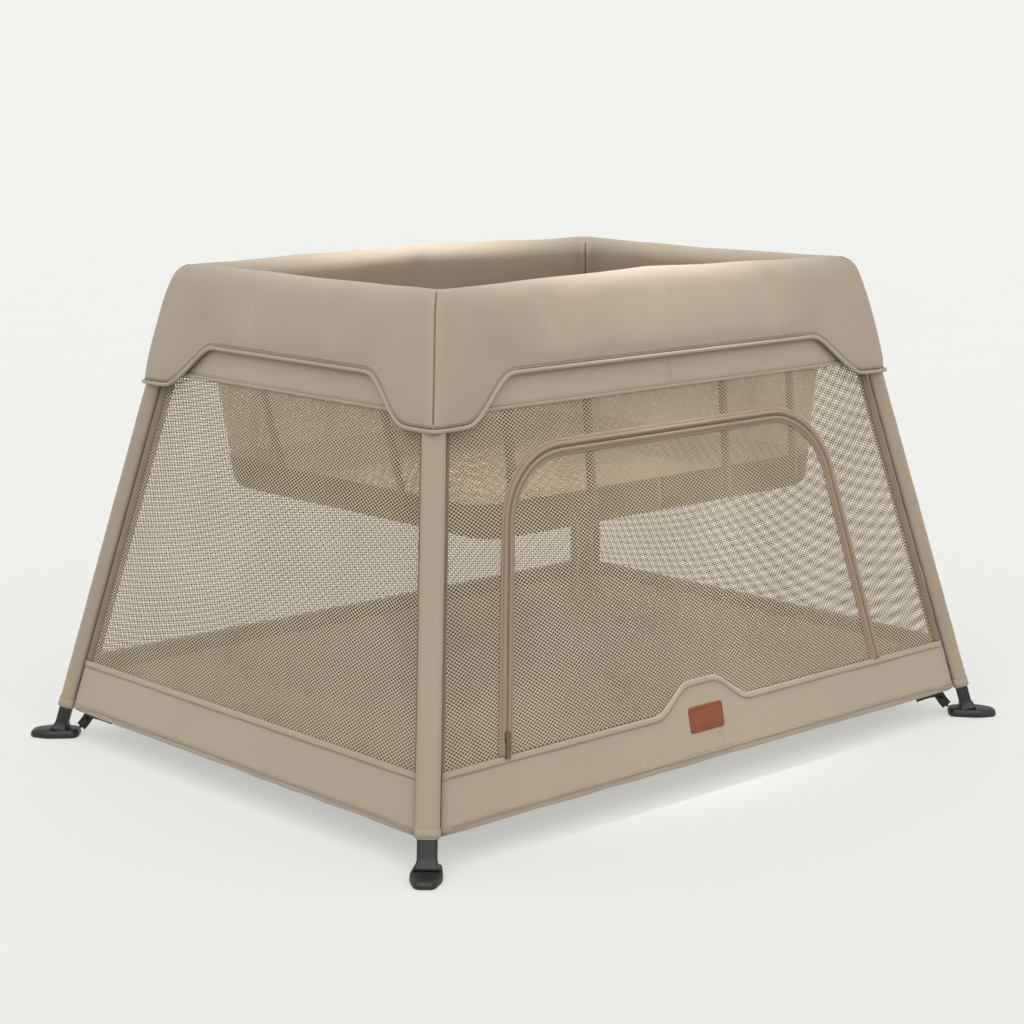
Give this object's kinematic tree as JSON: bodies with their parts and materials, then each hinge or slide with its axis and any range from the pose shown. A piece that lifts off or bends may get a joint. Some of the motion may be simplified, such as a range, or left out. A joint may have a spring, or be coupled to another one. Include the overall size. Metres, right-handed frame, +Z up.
{
  "type": "playpen",
  "caption": "Folding playpen with splayed legs, padded rails, mesh walls, a zip door and a raised hanging insert for a baby.",
  "frame": {"origin": "on the floor under the middle of the pen", "axes": "+Z up; +X along the pen; the long wall with the zip door faces -Y"},
  "size_m": [1.1452, 0.9052, 0.689],
  "materials": {
    "frame_tube": "satin anodised",
    "moulded_black": "fine grain",
    "steel_pin": "turned",
    "spring_steel": "drawn",
    "padded_cover": "plain woven polyester over foam",
    "plain_fabric": "plain woven polyester",
    "sleeve_fabric": "plain woven polyester",
    "mesh_fabric": "warp knit mesh",
    "floor_fabric": "coated woven polyester",
    "insert_fabric": "warp knit mesh and woven tape",
    "zip_tape": "woven tape with coil zip",
    "zip_metal": "painted",
    "black_webbing": "woven webbing",
    "patch_leather": "fine grain",
    "mattress_fabric": "soft woven polyester over foam"
  },
  "bodies": {
    "middle_hinges": {"hinge_housings": "moulded_black", "hinge_pins": "steel_pin", "button_springs": "spring_steel"},
    "left_frame": {"left_end_rail": "frame_tube", "left_leg_pivot_pins": "steel_pin", "left_rail_hinge_ends": "moulded_black", "left_rail_cover": "padded_cover", "left_upper_band": "plain_fabric", "left_skirt": "plain_fabric", "left_front_mesh": "mesh_fabric", "left_back_mesh": "mesh_fabric", "left_end_mesh": "mesh_fabric", "left_floor": "floor_fabric", "left_insert": "insert_fabric", "left_zip_tape": "zip_tape", "left_foot_straps": "black_webbing", "front_left_rail": "frame_tube", "front_left_bracket": "moulded_black", "back_left_rail": "frame_tube", "back_left_bracket": "moulded_black", "sewn_patch": "patch_leather"},
    "right_frame": {"right_end_rail": "frame_tube", "right_leg_pivot_pins": "steel_pin", "right_rail_hinge_ends": "moulded_black", "right_rail_cover": "padded_cover", "right_upper_band": "plain_fabric", "right_skirt": "plain_fabric", "right_front_mesh": "mesh_fabric", "right_back_mesh": "mesh_fabric", "right_end_mesh": "mesh_fabric", "right_floor": "floor_fabric", "right_insert": "insert_fabric", "right_zip_tape": "zip_tape", "right_foot_straps": "black_webbing", "front_right_rail": "frame_tube", "front_right_bracket": "moulded_black", "back_right_rail": "frame_tube", "back_right_bracket": "moulded_black"},
    "front_left_leg": {"front_left_leg_tube": "frame_tube", "front_left_leg_head": "moulded_black", "front_left_leg_sleeve": "sleeve_fabric", "front_left_foot": "moulded_black"},
    "back_left_leg": {"back_left_leg_tube": "frame_tube", "back_left_leg_head": "moulded_black", "back_left_leg_sleeve": "sleeve_fabric", "back_left_foot": "moulded_black"},
    "front_right_leg": {"front_right_leg_tube": "frame_tube", "front_right_leg_head": "moulded_black", "front_right_leg_sleeve": "sleeve_fabric", "front_right_foot": "moulded_black"},
    "back_right_leg": {"back_right_leg_tube": "frame_tube", "back_right_leg_head": "moulded_black", "back_right_leg_sleeve": "sleeve_fabric", "back_right_foot": "moulded_black"},
    "left_door": {"left_door_flap": "mesh_fabric"},
    "right_door": {"right_door_flap": "mesh_fabric"},
    "zip_slider": {"zip_slider": "zip_metal"},
    "front_button": {"front_release_button": "moulded_black"},
    "back_button": {"back_release_button": "moulded_black"},
    "mattress": {"mattress": "mattress_fabric"}
  },
  "joints": [
    {"name": "left_fold", "type": "hinge", "parent": "middle_hinges", "child": "left_frame", "pos_m": [-0.022, 0, 0.65], "axis": [0, 1, 0], "range_deg": [0, 87], "deforming": ["left_rail_cover", "left_upper_band", "left_skirt", "left_front_mesh", "left_back_mesh", "left_end_mesh", "left_floor", "left_insert", "left_zip_tape", "left_foot_straps", "left_door_flap", "right_rail_cover", "right_upper_band", "right_skirt", "right_front_mesh", "right_back_mesh", "right_end_mesh", "right_floor", "right_insert", "right_zip_tape", "right_foot_straps", "right_door_flap"]},
    {"name": "right_fold", "type": "hinge", "parent": "middle_hinges", "child": "right_frame", "pos_m": [0.022, 0, 0.65], "axis": [0, -1, 0], "range_deg": [0, 87]},
    {"name": "front_left_leg_fold", "type": "hinge", "parent": "left_frame", "child": "front_left_leg", "pos_m": [-0.38506, -0.26506, 0.612], "axis": [0.9745, -0.1349, -0.1791], "range_deg": [0, 97.56]},
    {"name": "back_left_leg_fold", "type": "hinge", "parent": "left_frame", "child": "back_left_leg", "pos_m": [-0.38506, 0.26506, 0.612], "axis": [-0.9694, 0.0937, 0.2268], "range_deg": [0, 94.77]},
    {"name": "front_right_leg_fold", "type": "hinge", "parent": "right_frame", "child": "front_right_leg", "pos_m": [0.38506, -0.26506, 0.612], "axis": [0.9745, 0.1349, 0.1791], "range_deg": [0, 97.56]},
    {"name": "back_right_leg_fold", "type": "hinge", "parent": "right_frame", "child": "back_right_leg", "pos_m": [0.38506, 0.26506, 0.612], "axis": [-0.9694, -0.0937, -0.2268], "range_deg": [0, 94.77]},
    {"name": "left_door_drop", "type": "hinge", "parent": "left_frame", "child": "left_door", "pos_m": [0, -0.38464, 0.117], "axis": [1, 0, 0], "range_deg": [0, 110]},
    {"name": "right_door_drop", "type": "hinge", "parent": "right_frame", "child": "right_door", "pos_m": [0, -0.38464, 0.117], "axis": [1, 0, 0], "range_deg": [0, 110]},
    {"name": "zip_slide", "type": "slide", "parent": "left_frame", "child": "zip_slider", "axis": [0.2023, 0.2043, 0.9578], "range_m": [0, 0.25]},
    {"name": "front_button_press", "type": "slide", "parent": "middle_hinges", "child": "front_button", "axis": [0, -1, 0], "range_m": [0, 0.0025], "stiffness_N_per_m": 1500, "springref_m": -0.001, "deforming": ["button_springs"]},
    {"name": "back_button_press", "type": "slide", "parent": "middle_hinges", "child": "back_button", "axis": [0, 1, 0], "range_m": [0, 0.0025], "stiffness_N_per_m": 1500, "springref_m": -0.001, "deforming": ["button_springs"]},
    {"name": "mattress_lift", "type": "slide", "parent": "middle_hinges", "child": "mattress", "axis": [0, 0, 1], "range_m": [0, 0.04]}
  ],
  "couplings": [
    {"joint": "right_fold", "follows": "left_fold", "ratio": 1},
    {"joint": "front_left_leg_fold", "follows": "left_fold", "ratio": 1.1213},
    {"joint": "back_left_leg_fold", "follows": "left_fold", "ratio": 1.0892},
    {"joint": "front_right_leg_fold", "follows": "left_fold", "ratio": 1.1213},
    {"joint": "back_right_leg_fold", "follows": "left_fold", "ratio": 1.0892},
    {"joint": "right_door_drop", "follows": "left_door_drop", "ratio": 1}
  ]
}
